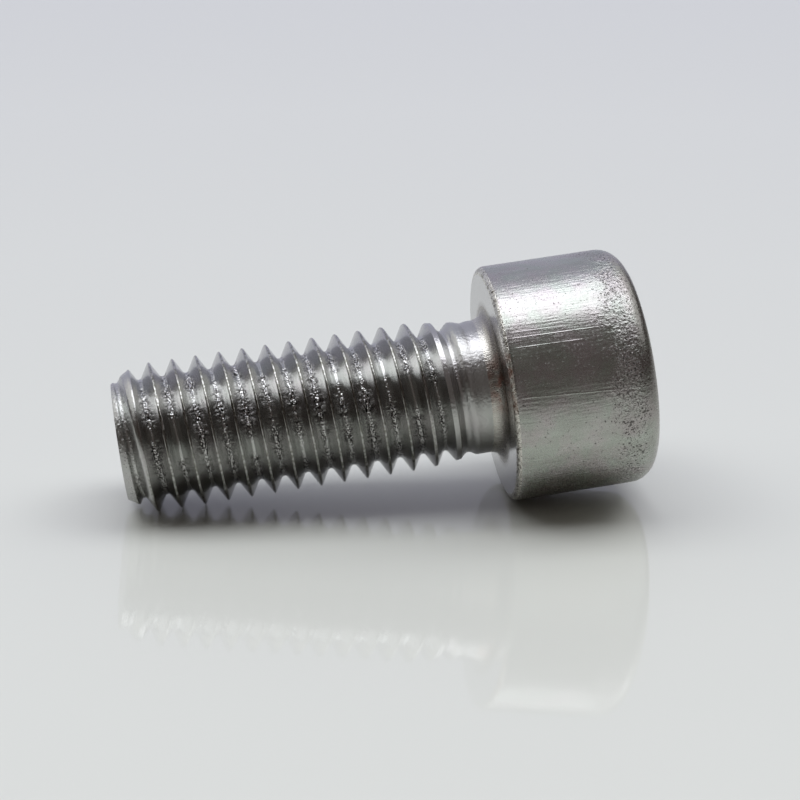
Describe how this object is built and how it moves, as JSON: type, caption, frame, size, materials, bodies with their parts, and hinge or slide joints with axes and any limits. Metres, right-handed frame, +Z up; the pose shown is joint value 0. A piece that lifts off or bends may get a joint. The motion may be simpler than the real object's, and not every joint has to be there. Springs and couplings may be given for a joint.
{
  "type": "hex socket cap screw",
  "caption": "Cylindrical head cap screw with a hexagon socket, plain neck and rolled coarse metric thread, lying on its head's edge and thread.",
  "frame": {"origin": "centre of the bearing face under the head", "axes": "+Z up from the surface it lies on; the screw's own axis lies in the XZ plane, from the tip at -X to the socket at +X, and rises 7.3 degrees towards the socket"},
  "size_m": [0.0288, 0.0128, 0.0135],
  "materials": {
    "steel": "bare stainless steel, satin on the drawn side of the head, brighter on the rolled thread"
  },
  "bodies": {
    "root": {"cap_screw": "steel"}
  },
  "joints": []
}
